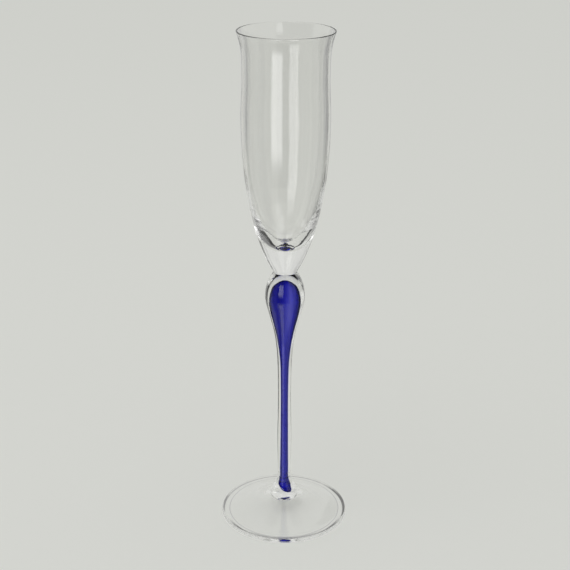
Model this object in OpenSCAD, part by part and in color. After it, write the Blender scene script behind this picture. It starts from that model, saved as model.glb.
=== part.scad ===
// Champagne flute: a clear blown bowl on a clear stem that seals in a cobalt drop, on a clear foot.
// The drop and its thread are a thin skin of cobalt glass over a clear heart.
// Millimetres, +Z up. The origin is the centre of the ring that the foot stands on.

/* [Overall] */
// Height of the whole glass, from the table to the top of the rim
glass_h = 287; // [250:1:320]
// Height of the seam where the bowl's solid base sits on the stem
seam_h = 153.5; // [140:0.5:165]

/* [Bowl] */
// Outer diameter at the rim
rim_d = 52.2; // [49:0.1:56]
// Outer diameter at the waist, the narrow place below the rim
waist_d = 46.7; // [45.5:0.1:47.5]
// Outer diameter at the belly, the widest place of the bowl's body
belly_d = 48.1; // [47.5:0.1:50]
// Wall thickness at the fire-polished rim
rim_wall = 0.9; // [0.7:0.1:1.6]
// Wall thickness at the waist and the belly
side_wall = 1; // [0.8:0.1:1.4]
// Depth of solid glass between the seam and the bottom of the inside
solid_base = 15.3; // [13:0.1:18]

/* [Stem] */
// Diameter of the seam between the bowl and the stem
seam_d = 13.2; // [12:0.1:15]
// Diameter of the bulb around the widest part of the drop
bulb_d = 22.4; // [21:0.1:24]
// Diameter of the stem's long thin stretch
stem_d = 7.7; // [7:0.1:8.4]
// Diameter of the button at the stem's foot end, where it is fused to the foot
base_d = 15.6; // [14:0.1:18]

/* [Core] */
// Diameter of the cobalt drop at its widest
drop_d = 11; // [9:0.1:13]
// Diameter of the cobalt thread inside the thin stretch
thread_d = 2.7; // [2.2:0.1:3.2]
// Diameter of the knob that the thread ends in
knob_d = 5; // [4.2:0.1:5.6]
// Angle at which the knob's low end is cut, hanging lower towards +X
knob_slant = 26; // [0:1:30]
// Clear glass between the foot's peak and the middle of the knob's cut end
knob_cover = 1; // [0.8:0.1:1.4]
// Thickness of the cobalt skin
skin = 0.4; // [0.3:0.05:0.6]
// Clear glass between the tip of the drop and the seam
tip_cover = 6; // [4.5:0.1:8]

/* [Foot] */
// Diameter of the foot
foot_d = 74; // [66:1:82]
// Thickness of the foot at its rounded edge
foot_edge = 2.4; // [2:0.1:3]
// Height of the seam between the stem and the foot, at the button's edge
foot_middle = 10.6; // [10:0.1:11.4]
// Height of the foot's peak, where it rises into the button along the axis
foot_peak = 12; // [11.6:0.1:12.6]
// Width of the flat ring that the glass stands on
ring_w = 3; // [2:0.5:5]
// Height of the hollow underside at its round flat top, the pontil mark
foot_hollow = 10.6; // [10:0.1:10.8]
// Diameter of the pontil mark
pontil_d = 6.4; // [5:0.1:8]

/* [Hidden] */
$fn = 96;
// Straight pieces that stand for each stretch of a curve between two stations
curve_steps = 6;
// Straight pieces in the half circle of a rounded edge
edge_steps = 8;

clear_glass = [0.86, 0.90, 0.90, 0.35];
cobalt_glass = [0.02, 0.06, 0.55];

bowl_h = glass_h - seam_h;
belly_r = belly_d / 2;
bulb_r = bulb_d / 2;
drop_r = drop_d / 2;
stem_r = stem_d / 2;
thread_r = thread_d / 2;
knob_r = knob_d / 2;
foot_r = foot_d / 2;
base_r = base_d / 2;
stem_h = seam_h - foot_middle;
floor_z = seam_h + solid_base;
tip_z = seam_h - tip_cover;
knob_z = foot_peak + knob_cover;
rim_round = rim_wall / 2;
lip_r = (0.28 * rim_d + 0.72 * waist_d) / 2;

// A height given as a share of the bowl's height, of the depth of its inside, and of the stem's height
function on_bowl(share) = seam_h + share * bowl_h;
function on_inside(share) = floor_z + share * (glass_h - floor_z);
function on_stem(share) = foot_middle + share * stem_h;

// Smooth curve through stations [radius, height]. It leaves the first station along first_way and
// reaches the last along last_way, both unit vectors. Between them it is a cubic, paced by the
// distance from one station to the next.
function gap(p, i) = norm(p[i + 1] - p[i]);
function way(p, i) = (p[i + 1] - p[i]) / gap(p, i);
function mid_way(p, i) =
    (way(p, i - 1) * gap(p, i) + way(p, i) * gap(p, i - 1)) / (gap(p, i - 1) + gap(p, i));
function way_at(p, i, first_way, last_way) =
    i == 0 ? first_way : i == len(p) - 1 ? last_way : mid_way(p, i);
function blend(a, b, way_a, way_b, length, t) =
    a * (1 + 2 * t) * pow(1 - t, 2) + b * (3 - 2 * t) * pow(t, 2)
    + length * (way_a * t * pow(1 - t, 2) + way_b * (t - 1) * pow(t, 2));
function smooth(p, first_way, last_way) = [
    for (i = [0 : len(p) - 2])
        let (way_a = way_at(p, i, first_way, last_way), way_b = way_at(p, i + 1, first_way, last_way))
            for (k = [0 : curve_steps - 1])
                blend(p[i], p[i + 1], way_a, way_b, gap(p, i), k / curve_steps),
    p[len(p) - 1]
];

// Unit vector at an angle from the level, outward and up
function heading(angle) = [cos(angle), sin(angle)];

// Outside of the bowl, from the seam up to the rim
bowl_outside = [
    [seam_d / 2, seam_h],
    [0.42 * belly_r, on_bowl(0.051)],
    [0.615 * belly_r, on_bowl(0.14)],
    [0.848 * belly_r, on_bowl(0.313)],
    [0.965 * belly_r, on_bowl(0.482)],
    [belly_r, on_bowl(0.656)],
    [waist_d / 2, on_bowl(0.826)],
    [lip_r, on_bowl(0.94)],
    [rim_d / 2, glass_h - rim_round]
];

// Inside of the bowl, from the middle of its floor up to the rim. The wall thickens towards the floor.
bowl_inside = [
    [0, floor_z],
    [0.166 * belly_r, on_inside(0.005)],
    [0.3 * belly_r, on_inside(0.024)],
    [0.424 * belly_r, on_inside(0.056)],
    [0.549 * belly_r, on_inside(0.098)],
    [0.665 * belly_r, on_inside(0.154)],
    [0.773 * belly_r, on_inside(0.23)],
    [0.865 * belly_r, on_inside(0.323)],
    [0.923 * belly_r, on_inside(0.425)],
    [belly_r - side_wall, on_inside(0.611)],
    [waist_d / 2 - side_wall, on_inside(0.803)],
    [lip_r - side_wall, on_inside(0.932)],
    [rim_d / 2 - rim_wall, glass_h - rim_round]
];

// Outside of the stem, from the button at its foot end up over the bulb to the seam
stem_outside = [
    [base_r, foot_middle],
    [0.98 * base_r, on_stem(0.022)],
    [0.82 * base_r, on_stem(0.047)],
    [0.58 * base_r, on_stem(0.065)],
    [1.03 * stem_r, on_stem(0.085)],
    [1.02 * stem_r, on_stem(0.154)],
    [1.1 * stem_r, on_stem(0.258)],
    [stem_r, on_stem(0.478)],
    [1.06 * stem_r, on_stem(0.598)],
    [0.41 * bulb_r, on_stem(0.666)],
    [0.56 * bulb_r, on_stem(0.75)],
    [0.77 * bulb_r, on_stem(0.814)],
    [bulb_r, on_stem(0.9)],
    [0.92 * bulb_r, on_stem(0.945)],
    [seam_d / 2, seam_h]
];

// Outside of the cobalt core, or a line at a depth inside it, from below the knob's cut end up the
// thread and the drop to the tip
function core_line(depth) =
    [
        [0, knob_z - 0.75 * knob_r + depth],
        [0.9 * knob_r - depth, knob_z - 0.52 * knob_r + depth],
        [knob_r - depth, on_stem(0.036)],
        [0.86 * knob_r - depth, on_stem(0.053)],
        [1.14 * thread_r - depth, on_stem(0.082)],
        [1.08 * thread_r - depth, on_stem(0.13)],
        [thread_r - depth, on_stem(0.31)],
        [thread_r - depth, on_stem(0.51)],
        [0.3 * drop_r - depth, on_stem(0.626)],
        [0.575 * drop_r - depth, on_stem(0.75)],
        [0.91 * drop_r - depth, on_stem(0.841)],
        [drop_r - depth, on_stem(0.896)],
        [0.7 * drop_r - 0.8 * depth, on_stem(0.937) - 0.6 * depth],
        [0, tip_z - depth]
    ];

// Top of the foot, from under the stem's base down to the rounded edge
foot_top = [
    [base_r, foot_middle],
    [0.45 * foot_r, foot_edge + 0.62 * (foot_middle - foot_edge)],
    [0.75 * foot_r, foot_edge + 0.2 * (foot_middle - foot_edge)],
    [foot_r - 1.6 * foot_edge, 0.94 * foot_edge],
    [foot_r - foot_edge / 2, foot_edge]
];

// Hollow underside of the foot, from the flat ring in to the axis
foot_under = [
    [foot_r - foot_edge / 2 - ring_w, 0],
    [0.75 * foot_r, 0.085 * foot_hollow],
    [0.45 * foot_r, 0.39 * foot_hollow],
    [0.22 * foot_r, 0.71 * foot_hollow],
    [pontil_d / 2, 0.985 * foot_hollow],
    [0, foot_hollow]
];

module turned(outline) {
    rotate_extrude($fn = $fn)
        polygon(outline);
}

// Clear bowl: thin at the rim, thick at the floor, with its solid base in one piece below
module bowl() {
    rim_top = [
        for (k = [1 : edge_steps - 1])
            [rim_d / 2 - rim_round, glass_h - rim_round] + rim_round * heading(180 * k / edge_steps)
    ];
    inside = smooth(bowl_inside, heading(0), heading(70));
    inside_down = [for (i = [len(inside) - 1 : -1 : 0]) inside[i]];
    color(clear_glass)
        turned(concat(
            [[0, seam_h]],
            smooth(bowl_outside, heading(62), heading(70)),
            rim_top,
            inside_down
        ));
}

// The core, or what lies at a depth inside it, with the knob's low end cut off on a slant
module core_shape(depth) {
    cutter = 4 * knob_d;
    difference() {
        turned(smooth(core_line(depth), heading(0), heading(180)));
        translate([0, 0, knob_z + depth])
            rotate([0, knob_slant, 0])
                translate([-cutter / 2, -cutter / 2, -cutter])
                    cube(cutter);
    }
}

// Clear stem, a solid casing around the core
module stem() {
    color(clear_glass)
        difference() {
            turned(concat(
                [[0, seam_h], [0, foot_peak]],
                smooth(stem_outside, heading(92), heading(122))
            ));
            core_shape(0);
        }
}

// Thin skin of cobalt glass, sealed in the stem
module core() {
    color(cobalt_glass)
        difference() {
            core_shape(0);
            core_shape(skin);
        }
}

// Clear glass inside the cobalt skin
module heart() {
    color(clear_glass)
        core_shape(skin);
}

// Clear foot: a plate that rises to the stem, beaded at its edge and hollow underneath
module foot() {
    edge = [
        for (k = [1 : edge_steps - 1])
            [foot_r - foot_edge / 2, foot_edge / 2] + foot_edge / 2 * heading(90 - 180 * k / edge_steps)
    ];
    color(clear_glass)
        turned(concat(
            [[0, foot_peak]],
            smooth(foot_top, heading(-20), heading(0)),
            edge,
            [[foot_r - foot_edge / 2, 0]],
            smooth(foot_under, heading(180), heading(180))
        ));
}

bowl();
stem();
core();
heart();
foot();
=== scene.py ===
"""Champagne flute: the visual model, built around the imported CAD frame.

Five pieces of glass, fused while hot: a clear bowl, a clear stem, a thin cobalt core sealed in the stem
with a clear heart inside it, and a clear foot. Each is a turned mesh that follows the CAD solid of the
same name. All lengths are in metres, in the CAD's frame.
"""
import math

import bmesh
import bpy
from mathutils import Matrix, Vector


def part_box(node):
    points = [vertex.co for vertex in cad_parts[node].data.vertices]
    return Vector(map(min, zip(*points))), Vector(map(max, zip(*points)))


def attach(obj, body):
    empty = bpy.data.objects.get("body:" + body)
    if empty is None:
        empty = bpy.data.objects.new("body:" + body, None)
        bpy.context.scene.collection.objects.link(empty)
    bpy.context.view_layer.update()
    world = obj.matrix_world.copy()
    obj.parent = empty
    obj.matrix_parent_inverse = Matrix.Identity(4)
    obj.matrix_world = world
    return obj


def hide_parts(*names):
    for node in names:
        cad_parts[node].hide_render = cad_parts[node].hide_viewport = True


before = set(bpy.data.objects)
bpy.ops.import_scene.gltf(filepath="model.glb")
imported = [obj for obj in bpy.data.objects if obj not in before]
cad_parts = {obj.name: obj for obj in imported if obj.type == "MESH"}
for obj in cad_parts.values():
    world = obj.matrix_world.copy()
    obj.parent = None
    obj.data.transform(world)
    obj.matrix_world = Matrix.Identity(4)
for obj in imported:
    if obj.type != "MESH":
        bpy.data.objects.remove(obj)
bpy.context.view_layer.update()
MM = 0.001

# ---------------------------------------------------------------- sizes from the frame
bowl_low, bowl_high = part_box("bowl")
stem_low, stem_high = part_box("stem")
core_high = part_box("core")[1]
foot_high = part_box("foot")[1]

SEAM_Z = bowl_low.z
RIM_Z = bowl_high.z
BOWL_H = RIM_Z - SEAM_Z
RIM_R = bowl_high.x
BULB_R = stem_high.x
FOOT_R = foot_high.x
FOOT_TOP_Z = stem_low.z
FOOT_PEAK = foot_high.z
TIP_Z = core_high.z

# Sizes that the boxes don't tell
WAIST_R = 23.35 * MM
BELLY_R = 24.05 * MM
SEAM_R = 6.6 * MM
STEM_R = 3.85 * MM
BASE_R = 7.8 * MM
RIM_WALL = 0.9 * MM
SIDE_WALL = 1.0 * MM
SOLID_BASE = 15.3 * MM
DROP_R = 5.5 * MM
THREAD_R = 1.35 * MM
KNOB_R = 2.5 * MM
SKIN = 0.4 * MM
FOOT_EDGE = 2.4 * MM
RING_W = 3.0 * MM
FOOT_HOLLOW = 10.6 * MM
PONTIL_R = 3.2 * MM
KNOB_COVER = 1.0 * MM
KNOB_SHIFT = 0.7 * MM
HEART_GAP = 0.02 * MM
STEM_H = SEAM_Z - FOOT_TOP_Z
FLOOR_Z = SEAM_Z + SOLID_BASE
KNOB_Z = FOOT_PEAK + KNOB_COVER
LIP_R = 0.28 * RIM_R + 0.72 * WAIST_R

# Steps round a piece, between two stations of a curve, and along a rounded edge
AROUND = 192
CURVE_STEPS = 10
EDGE_STEPS = 12
TINY = 1e-9


# ---------------------------------------------------------------- outlines
def heading(degrees):
    """Unit vector (outward, up) at an angle from the level."""
    a = math.radians(degrees)
    return Vector((math.cos(a), math.sin(a)))


def smooth(stations, first_way, last_way):
    """Points of a smooth curve through stations (radius, height), paced by the gaps between them."""
    p = [Vector(s) for s in stations]
    gap = [(b - a).length for a, b in zip(p, p[1:])]
    way = [(b - a) / g for a, b, g in zip(p, p[1:], gap)]
    ways = [first_way]
    for i in range(1, len(p) - 1):
        ways.append((way[i - 1] * gap[i] + way[i] * gap[i - 1]) / (gap[i - 1] + gap[i]))
    ways.append(last_way)
    points = []
    for i, g in enumerate(gap):
        for k in range(CURVE_STEPS):
            t = k / CURVE_STEPS
            points.append(
                p[i] * (1 + 2 * t) * (1 - t) ** 2
                + p[i + 1] * (3 - 2 * t) * t ** 2
                + g * (ways[i] * t * (1 - t) ** 2 + ways[i + 1] * (t - 1) * t ** 2)
            )
    points.append(p[-1])
    return points


def arc(centre, radius, first, last):
    """Points inside an arc of a rounded edge, its ends left out."""
    turns = [first + (last - first) * k / EDGE_STEPS for k in range(1, EDGE_STEPS)]
    return [Vector(centre) + radius * heading(turn) for turn in turns]


def on_bowl(share):
    """Height at a share of the bowl's outside, from the seam up."""
    return SEAM_Z + share * BOWL_H


def on_inside(share):
    """Height at a share of the bowl's inside, from its floor up."""
    return FLOOR_Z + share * (RIM_Z - FLOOR_Z)


def on_stem(share):
    """Height at a share of the stem, from the foot up."""
    return FOOT_TOP_Z + share * STEM_H


def bowl_outside():
    round_r = RIM_WALL / 2
    return smooth(
        [
            (SEAM_R, SEAM_Z),
            (0.42 * BELLY_R, on_bowl(0.051)),
            (0.615 * BELLY_R, on_bowl(0.14)),
            (0.848 * BELLY_R, on_bowl(0.313)),
            (0.965 * BELLY_R, on_bowl(0.482)),
            (BELLY_R, on_bowl(0.656)),
            (WAIST_R, on_bowl(0.826)),
            (LIP_R, on_bowl(0.94)),
            (RIM_R, RIM_Z - round_r),
        ],
        heading(62),
        heading(70),
    )


def bowl_inside():
    round_r = RIM_WALL / 2
    return smooth(
        [
            (0, FLOOR_Z),
            (0.166 * BELLY_R, on_inside(0.005)),
            (0.3 * BELLY_R, on_inside(0.024)),
            (0.424 * BELLY_R, on_inside(0.056)),
            (0.549 * BELLY_R, on_inside(0.098)),
            (0.665 * BELLY_R, on_inside(0.154)),
            (0.773 * BELLY_R, on_inside(0.23)),
            (0.865 * BELLY_R, on_inside(0.323)),
            (0.923 * BELLY_R, on_inside(0.425)),
            (BELLY_R - SIDE_WALL, on_inside(0.611)),
            (WAIST_R - SIDE_WALL, on_inside(0.803)),
            (LIP_R - SIDE_WALL, on_inside(0.932)),
            (RIM_R - RIM_WALL, RIM_Z - round_r),
        ],
        heading(0),
        heading(70),
    )


def stem_outside():
    return smooth(
        [
            (BASE_R, FOOT_TOP_Z),
            (0.98 * BASE_R, on_stem(0.022)),
            (0.82 * BASE_R, on_stem(0.047)),
            (0.58 * BASE_R, on_stem(0.065)),
            (1.03 * STEM_R, on_stem(0.085)),
            (1.02 * STEM_R, on_stem(0.154)),
            (1.1 * STEM_R, on_stem(0.258)),
            (STEM_R, on_stem(0.478)),
            (1.06 * STEM_R, on_stem(0.598)),
            (0.41 * BULB_R, on_stem(0.666)),
            (0.56 * BULB_R, on_stem(0.75)),
            (0.77 * BULB_R, on_stem(0.814)),
            (BULB_R, on_stem(0.9)),
            (0.92 * BULB_R, on_stem(0.945)),
            (SEAM_R, SEAM_Z),
        ],
        heading(92),
        heading(122),
    )


def core_line(depth):
    """The core's outline, or a line at a depth inside it."""
    return smooth(
        [
            (0, KNOB_Z + depth),
            (0.82 * KNOB_R - depth, KNOB_Z + 0.4 * MM + depth),
            (KNOB_R - depth, on_stem(0.036)),
            (0.86 * KNOB_R - depth, on_stem(0.053)),
            (1.14 * THREAD_R - depth, on_stem(0.082)),
            (1.08 * THREAD_R - depth, on_stem(0.13)),
            (THREAD_R - depth, on_stem(0.31)),
            (THREAD_R - depth, on_stem(0.51)),
            (0.3 * DROP_R - depth, on_stem(0.626)),
            (0.575 * DROP_R - depth, on_stem(0.75)),
            (0.91 * DROP_R - depth, on_stem(0.841)),
            (DROP_R - depth, on_stem(0.896)),
            (0.7 * DROP_R - 0.8 * depth, on_stem(0.937) - 0.6 * depth),
            (0, TIP_Z - depth),
        ],
        heading(0),
        heading(180),
    )


def foot_top():
    rise = FOOT_TOP_Z - FOOT_EDGE
    return smooth(
        [
            (BASE_R, FOOT_TOP_Z),
            (0.45 * FOOT_R, FOOT_EDGE + 0.62 * rise),
            (0.75 * FOOT_R, FOOT_EDGE + 0.2 * rise),
            (FOOT_R - 1.6 * FOOT_EDGE, 0.94 * FOOT_EDGE),
            (FOOT_R - FOOT_EDGE / 2, FOOT_EDGE),
        ],
        heading(-20),
        heading(0),
    )


def foot_under():
    """The hollow underside, from the axis to the ring that the foot rests on."""
    return smooth(
        [
            (0, FOOT_HOLLOW),
            (PONTIL_R, 0.985 * FOOT_HOLLOW),
            (0.22 * FOOT_R, 0.71 * FOOT_HOLLOW),
            (0.45 * FOOT_R, 0.39 * FOOT_HOLLOW),
            (0.75 * FOOT_R, 0.085 * FOOT_HOLLOW),
            (FOOT_R - FOOT_EDGE / 2 - RING_W, 0),
        ],
        heading(0),
        heading(0),
    )


# ---------------------------------------------------------------- turned meshes
def turned(name, strips):
    """A closed mesh of revolution. strips is a list of (points, material number), end to end round the
    outline, up the outside and down the inside, so that faces look out of the glass."""
    mesh = bpy.data.meshes.new(name)
    bm = bmesh.new()
    outline = []
    kinds = []
    for points, kind in strips:
        for p in points:
            if outline and (p - outline[-1]).length < TINY:
                continue
            if outline:
                kinds.append(kind)
            outline.append(p)
    rings = []
    for p in outline:
        if p.x < TINY:
            rings.append([bm.verts.new((0, 0, p.y))])
            continue
        turns = [2 * math.pi * k / AROUND for k in range(AROUND)]
        rings.append([bm.verts.new((p.x * math.cos(a), p.x * math.sin(a), p.y)) for a in turns])
    for low, high, kind in zip(rings, rings[1:], kinds):
        if len(low) == 1 and len(high) == 1:
            continue
        for k in range(AROUND):
            j = (k + 1) % AROUND
            if len(low) == 1:
                corners = (low[0], high[j], high[k])
            elif len(high) == 1:
                corners = (low[k], low[j], high[0])
            else:
                corners = (low[k], low[j], high[j], high[k])
            face = bm.faces.new(corners)
            face.material_index = kind
            face.smooth = True
    for edge in bm.edges:
        if len({face.material_index for face in edge.link_faces}) > 1:
            edge.smooth = False
    bm.to_mesh(mesh)
    bm.free()
    piece = bpy.data.objects.new(name, mesh)
    bpy.context.collection.objects.link(piece)
    return piece


def lean_low_end(piece, top, bottom, slope, shift):
    """Slant the low end of a piece, so that the side towards +X hangs lower, and push it that way."""
    for v in piece.data.vertices:
        if v.co.z < top:
            share = min(1, (top - v.co.z) / (top - bottom)) ** 2
            v.co.z -= slope * v.co.x * share
            v.co.x += shift * share


def streak(piece, top, bottom):
    """Make the skin that lies over a piece uneven, as drawn glass is: thicker and thinner streaks run
    down the drop and turn by a sixth of a circle between top and bottom, where it was drawn out."""
    for v in piece.data.vertices:
        radius = math.hypot(v.co.x, v.co.y)
        if radius < TINY:
            continue
        turn = max(0, min(1, (top - v.co.z) / (top - bottom)))
        around = math.atan2(v.co.x, -v.co.y) + math.radians(60) * turn
        wave = 0.3 * math.sin(3 * around) + 0.15 * math.sin(5 * around)
        grown = radius + SKIN * wave * min(1, radius / (4 * SKIN))
        v.co.x *= grown / radius
        v.co.y *= grown / radius


def line_with(piece, inner):
    """Give a piece an inside: another piece's surface, turned inside out."""
    bm = bmesh.new()
    bm.from_mesh(inner.data)
    bmesh.ops.reverse_faces(bm, faces=bm.faces)
    bm.from_mesh(piece.data)
    bm.to_mesh(piece.data)
    bm.free()
    bpy.data.objects.remove(inner)


# ---------------------------------------------------------------- materials
GLASS_IOR = 1.52
# The core and the heart lie inside other glass, so theirs are only the steps from one to the next.
COBALT_IOR = 1.01
HEART_IOR = 1.005
COBALT_COLOUR = (0.1, 0.1, 0.83)
COBALT_DENSITY = 5400.0
CLEAR_TONES = ((0.957, 0.958, 0.95), (0.967, 0.967, 0.961))
COBALT_TONES = ((0.93, 0.94, 1.0), (1.0, 1.0, 1.0))


def glass(name, ior):
    """Smooth glass that light passes through."""
    material = bpy.data.materials.new(name)
    material.use_nodes = True
    shader = material.node_tree.nodes["Principled BSDF"]
    shader.inputs["Base Color"].default_value = (1, 1, 1, 1)
    shader.inputs["Roughness"].default_value = 0.0
    shader.inputs["IOR"].default_value = ior
    shader.inputs["Transmission Weight"].default_value = 1.0
    return material


def add_waves(material, height, depth):
    """Let a texture's output raise and lower the surface by a depth in metres."""
    tree = material.node_tree
    bump = tree.nodes.new("ShaderNodeBump")
    bump.inputs["Strength"].default_value = 1.0
    bump.inputs["Distance"].default_value = depth
    tree.links.new(height, bump.inputs["Height"])
    tree.links.new(bump.outputs["Normal"], tree.nodes["Principled BSDF"].inputs["Normal"])


def add_marks(material, stretch, scale, depth):
    """Faint draw marks: shallow waves, long in the direction in which the glass was drawn."""
    tree = material.node_tree
    place = tree.nodes.new("ShaderNodeTexCoord")
    mapping = tree.nodes.new("ShaderNodeMapping")
    mapping.inputs["Scale"].default_value = stretch
    noise = tree.nodes.new("ShaderNodeTexNoise")
    noise.inputs["Scale"].default_value = scale
    noise.inputs["Detail"].default_value = 2.0
    tree.links.new(place.outputs["Object"], mapping.inputs["Vector"])
    tree.links.new(mapping.outputs["Vector"], noise.inputs["Vector"])
    add_waves(material, noise.outputs["Fac"], depth)


def add_spun_marks(material, scale, depth):
    """Faint rings, as spinning leaves them in a foot: shallow waves round the axis, a little uneven."""
    tree = material.node_tree
    place = tree.nodes.new("ShaderNodeTexCoord")
    rings = tree.nodes.new("ShaderNodeTexWave")
    rings.wave_type = "RINGS"
    rings.rings_direction = "Z"
    rings.inputs["Scale"].default_value = scale
    rings.inputs["Distortion"].default_value = 2.0
    rings.inputs["Detail Scale"].default_value = 0.6
    tree.links.new(place.outputs["Object"], rings.inputs["Vector"])
    add_waves(material, rings.outputs["Fac"], depth)


def add_tone(material, scale, tones):
    """Let the tint drift softly between two tones, as it does in glass gathered by hand."""
    tree = material.node_tree
    place = tree.nodes.new("ShaderNodeTexCoord")
    noise = tree.nodes.new("ShaderNodeTexNoise")
    noise.inputs["Scale"].default_value = scale
    ramp = tree.nodes.new("ShaderNodeValToRGB")
    for stop, position, tone in zip(ramp.color_ramp.elements, (0.35, 0.65), tones):
        stop.position = position
        stop.color = (*tone, 1)
    tree.links.new(place.outputs["Object"], noise.inputs["Vector"])
    tree.links.new(noise.outputs["Fac"], ramp.inputs["Fac"])
    tree.links.new(ramp.outputs["Color"], tree.nodes["Principled BSDF"].inputs["Base Color"])


def add_colour(material, colour, density):
    """Colour the light by the length of its way through the glass."""
    tree = material.node_tree
    absorb = tree.nodes.new("ShaderNodeVolumeAbsorption")
    absorb.inputs["Color"].default_value = (*colour, 1)
    absorb.inputs["Density"].default_value = density
    tree.links.new(absorb.outputs[0], tree.nodes["Material Output"].inputs["Volume"])


def seam_material():
    """For the faces where two pieces were fused: there is no surface left to see."""
    material = bpy.data.materials.new("fused_seam")
    material.use_nodes = True
    tree = material.node_tree
    tree.nodes.clear()
    out = tree.nodes.new("ShaderNodeOutputMaterial")
    clear = tree.nodes.new("ShaderNodeBsdfTransparent")
    tree.links.new(clear.outputs[0], out.inputs["Surface"])
    return material


clear_glass = glass("clear_glass", GLASS_IOR)
add_marks(clear_glass, (1, 1, 0.02), 450, 0.045 * MM)
add_tone(clear_glass, 40, CLEAR_TONES)
spun_glass = glass("spun_glass", GLASS_IOR)
add_spun_marks(spun_glass, 55, 0.02 * MM)
add_tone(spun_glass, 40, CLEAR_TONES)
fused_seam = seam_material()
cobalt = glass("cobalt_glass", COBALT_IOR)
add_marks(cobalt, (1, 1, 0.05), 300, 0.05 * MM)
add_tone(cobalt, 120, COBALT_TONES)
add_colour(cobalt, COBALT_COLOUR, COBALT_DENSITY)
heart_glass = glass("heart_glass", HEART_IOR)
add_marks(heart_glass, (1, 1, 0.05), 300, 0.05 * MM)

# ---------------------------------------------------------------- pieces
GLASS, SEAM = 0, 1  # the places of the two materials on each piece
rim_round = RIM_WALL / 2
foot_round = FOOT_EDGE / 2
ring_outside = Vector((FOOT_R - foot_round, 0))
seam_disc = [Vector((0, SEAM_Z)), Vector((SEAM_R, SEAM_Z))]
base_disc = [Vector((0, FOOT_PEAK)), Vector((BASE_R, FOOT_TOP_Z))]

bowl = turned("bowl_glass", [
    (seam_disc, SEAM),
    (bowl_outside(), GLASS),
    (arc((RIM_R - rim_round, RIM_Z - rim_round), rim_round, 0, 180), GLASS),
    (bowl_inside()[::-1], GLASS),
])
stem = turned("stem_glass", [
    (base_disc, SEAM),
    (stem_outside(), GLASS),
    (seam_disc[::-1], SEAM),
])
core = turned("core_glass", [(core_line(0), GLASS)])
core_inside = turned("core_inside", [(core_line(SKIN), GLASS)])
heart = turned("heart_glass", [(core_line(SKIN + HEART_GAP), GLASS)])
for piece in (core_inside, heart):
    streak(piece, on_stem(0.8), on_stem(0.6))
line_with(core, core_inside)
for piece in (core, heart):
    lean_low_end(piece, on_stem(0.07), KNOB_Z, 0.5, KNOB_SHIFT)
foot = turned("foot_glass", [
    ([ring_outside], GLASS),
    (arc((FOOT_R - foot_round, foot_round), foot_round, -90, 90), GLASS),
    (foot_top()[::-1], GLASS),
    (base_disc[::-1], SEAM),
    (foot_under(), GLASS),
    ([ring_outside], GLASS),
])
for piece, node, slot, finish in (
    (bowl, "bowl", "clear_glass", clear_glass),
    (stem, "stem", "clear_glass", clear_glass),
    (core, "core", "cobalt_glass", cobalt),
    (heart, "heart", "clear_glass", heart_glass),
    (foot, "foot", "clear_glass", spun_glass),
):
    piece.data.materials.append(finish)
    piece.data.materials.append(fused_seam)
    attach(piece, "root")
    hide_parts(node)

# ---------------------------------------------------------------- stage, light and camera
FLOOR_R = 7.0
FLOOR_GAP = 0.1 * MM
floor_mesh = bpy.data.meshes.new("floor")
bm = bmesh.new()
bmesh.ops.create_circle(bm, cap_ends=True, radius=FLOOR_R, segments=128)
bmesh.ops.translate(bm, verts=bm.verts, vec=(0, 0, -FLOOR_GAP))
bm.to_mesh(floor_mesh)
bm.free()
floor = bpy.data.objects.new("floor", floor_mesh)
bpy.context.collection.objects.link(floor)
paint = bpy.data.materials.new("floor_paint")
paint.use_nodes = True
paint_shader = paint.node_tree.nodes["Principled BSDF"]
paint_shader.inputs["Base Color"].default_value = (0.85, 0.855, 0.83, 1)
paint_shader.inputs["Roughness"].default_value = 1.0
paint_shader.inputs["Specular IOR Level"].default_value = 0.0
floor_mesh.materials.append(paint)

world = bpy.data.worlds.new("studio")
bpy.context.scene.world = world
world.use_nodes = True
back = world.node_tree.nodes["Background"]
back.inputs["Color"].default_value = (0.72, 0.725, 0.705, 1)
back.inputs["Strength"].default_value = 1.0

# The thin clear foot hardly dims the floor, but its shadow would be black.
foot.visible_shadow = False
foot.visible_diffuse = False


def card_material(name, tone):
    """A card seen only in the glass: a ray that left a matt surface passes through it. The mesh's own
    strength, from 0 to 1, fades its edges."""
    material = bpy.data.materials.new(name)
    material.use_nodes = True
    tree = material.node_tree
    tree.nodes.clear()
    out = tree.nodes.new("ShaderNodeOutputMaterial")
    glow = tree.nodes.new("ShaderNodeEmission")
    glow.inputs["Strength"].default_value = tone
    clear = tree.nodes.new("ShaderNodeBsdfTransparent")
    mix = tree.nodes.new("ShaderNodeMixShader")
    path = tree.nodes.new("ShaderNodeLightPath")
    strength = tree.nodes.new("ShaderNodeAttribute")
    strength.attribute_name = "strength"
    share = tree.nodes.new("ShaderNodeMath")
    share.operation = "SUBTRACT"
    share.use_clamp = True
    tree.links.new(strength.outputs["Fac"], share.inputs[0])
    tree.links.new(path.outputs["Diffuse Depth"], share.inputs[1])
    tree.links.new(share.outputs[0], mix.inputs["Fac"])
    tree.links.new(clear.outputs[0], mix.inputs[1])
    tree.links.new(glow.outputs[0], mix.inputs[2])
    tree.links.new(mix.outputs[0], out.inputs["Surface"])
    return material


def fade(share, soft_low, soft_high):
    """1 in the middle of a span from 0 to 1, falling smoothly to 0 over a soft part at either end."""
    level = 1.0
    if soft_low > 0:
        level = min(level, share / soft_low)
    if soft_high > 0:
        level = min(level, (1 - share) / soft_high)
    return level * level * (3 - 2 * level)


CARD_STEPS = 10


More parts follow.
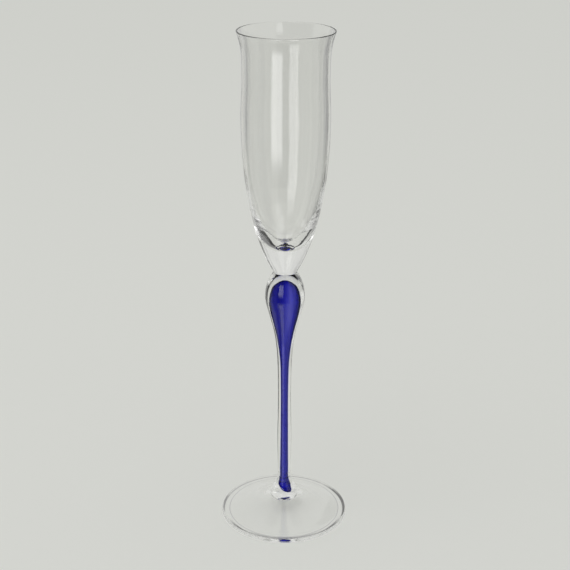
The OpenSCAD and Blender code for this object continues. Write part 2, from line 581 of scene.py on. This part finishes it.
def card(name, first, last, tone, path, soft=(0, 0), soft_ends=(0, 0)):
    """A ring sector of studio card round the glass. Azimuth 0 is towards the camera, 90 is +X. path is
    its upright section as (radius, height). soft and soft_ends are the shares of the sector and of the
    section that fade out."""
    mesh = bpy.data.meshes.new(name)
    turns = max(8, round((last - first) / 2))
    legs = [(Vector(b) - Vector(a)).length for a, b in zip(path, path[1:])]
    rows = []
    done = 0.0
    for a, b, leg in zip(path, path[1:], legs):
        for k in range(CARD_STEPS):
            step = k / CARD_STEPS
            rows.append((Vector(a).lerp(Vector(b), step), (done + leg * step) / sum(legs)))
        done += leg
    rows.append((Vector(path[-1]), 1.0))
    points = []
    strength = []
    for k in range(turns + 1):
        a = math.radians(first + (last - first) * k / turns)
        across = fade(k / turns, *soft)
        for p, share in rows:
            points.append((p.x * math.sin(a), -p.x * math.cos(a), p.y))
            strength.append(across * fade(share, *soft_ends))
    n = len(rows)
    faces = [
        (k * n + i, k * n + n + i, k * n + n + i + 1, k * n + i + 1)
        for k in range(turns) for i in range(n - 1)
    ]
    mesh.from_pydata(points, [], faces)
    mesh.attributes.new("strength", "FLOAT", "POINT").data.foreach_set("value", strength)
    mesh.materials.append(card_material(name, tone))
    piece = bpy.data.objects.new(name, mesh)
    bpy.context.collection.objects.link(piece)
    piece.visible_camera = False
    piece.visible_diffuse = False
    piece.visible_shadow = False
    piece.visible_volume_scatter = False


# The dark sides of the room, which draw the outlines
SIDE = ((0.045, 0.002), (0.22, 0.32))
FRONT = ((0.3, 0.001), (0.3, 0.6), (0.04, 0.78))
EDGE = ((0.1, 0.185), (0.1, 0.3))
card("side_right", 61, 92, 0.3, SIDE, (0.2, 0), (0.08, 0.2))
card("shade_right", 92, 114, 0.2, SIDE, (0, 0), (0.08, 0.2))
card("line_right", 114, 134, 0.04, SIDE, (0, 0.2), (0.08, 0.2))
card("edge_right", 144, 163, 0.5, EDGE, (0.1, 0.25), (0.2, 0))
card("edge_left", 197, 216, 0.5, EDGE, (0.25, 0.1), (0.2, 0))
card("line_left", 240, 254, 0.08, SIDE, (0.15, 0), (0.08, 0.2))
card("side_left", 286, 318, 0.3, SIDE, (0.2, 0.2), (0.08, 0.2))
card("front", -80, 29, 0.16, FRONT, (0.15, 0.08))
card("window", -38, -7, 2.5, ((0.27, 0.085), (0.27, 0.275)), (0.12, 0.12), (0.3, 0.15))
# Painted reflection: glowing cards lying on the floor in front, seen only in the glass, stand in for
# the window as a mirror table under the glass would reflect it
card("painted_reflection_near", -39, -7, 1.4, ((0.04, 0.001), (0.14, 0.001)), (0.12, 0.12), (0, 0.2))
card("painted_reflection_far", -39, -7, 1.6, ((0.12, 0.001), (0.27, 0.001)), (0.12, 0.12), (0.2, 0.6))
card("small_window", 8, 26, 1.5, ((0.28, 0.36), (0.28, 0.48)), (0.15, 0.15))

# Thin shade under the ring on which the glass stands: seen only through the foot
UNDER_Z = -FLOOR_GAP / 2
RING_BACK = ((0.0354, UNDER_Z), (0.0365, UNDER_Z))
RING_SIDE = ((0.035, UNDER_Z), (0.0367, UNDER_Z))
RING_FRONT = ((0.034, UNDER_Z), (0.0356, UNDER_Z))
RING_NEAR = ((0.0326, UNDER_Z), (0.0352, UNDER_Z))
RING_INNER = ((0.0318, UNDER_Z), (0.0328, UNDER_Z))
card("ring_back", 125, 255, 0.4, RING_BACK, (0.15, 0.15), (0.3, 0.3))
card("ring_left", 240, 300, 0.25, RING_BACK, (0.2, 0.2), (0.3, 0.3))
card("ring_right", 60, 140, 0.1, RING_SIDE, (0.2, 0.2), (0.3, 0.3))
card("ring_front", -70, 75, 0.15, RING_FRONT, (0.15, 0.15), (0.3, 0.3))
card("ring_near", -45, 45, 0.3, RING_NEAR, (0.3, 0.3), (0.3, 0.3))
card("ring_inner", 0, 360, 0.45, RING_INNER, (0, 0), (0.4, 0.4))


def softbox(name, place, size, power):
    """A soft light for the floor, not seen in the glass."""
    light = bpy.data.lights.new(name, "AREA")
    light.shape = "DISK"
    light.size = size
    light.energy = power
    lamp = bpy.data.objects.new(name, light)
    lamp.location = place
    lamp.rotation_euler = (Vector((0, 0, 0.1)) - lamp.location).to_track_quat("-Z", "Y").to_euler()
    bpy.context.collection.objects.link(lamp)
    lamp.visible_camera = False
    lamp.visible_glossy = False
    lamp.visible_transmission = False


softbox("overhead", Vector((-0.6, -0.5, 1.6)), 1.2, 2.0)

BOUNCES = 40
cycles = bpy.context.scene.cycles
cycles.max_bounces = BOUNCES
cycles.transmission_bounces = BOUNCES
cycles.glossy_bounces = BOUNCES

LENS = 77.55
SENSOR = 36
CAMERA_PLACE = (0, -0.637, 0.4007)
LOOK_DOWN = 21.85
ROLL = 0.28
camera_data = bpy.data.cameras.new("camera")
camera = bpy.data.objects.new("camera", camera_data)
bpy.context.collection.objects.link(camera)
camera_data.lens = LENS
camera_data.sensor_width = SENSOR
camera.location = CAMERA_PLACE
tilt = Matrix.Rotation(math.radians(90 - LOOK_DOWN), 3, "X")
roll = Matrix.Rotation(math.radians(ROLL), 3, "Z")
camera.rotation_euler = (tilt @ roll).to_euler()
bpy.context.scene.camera = camera
bpy.context.scene.view_settings.view_transform = "Standard"
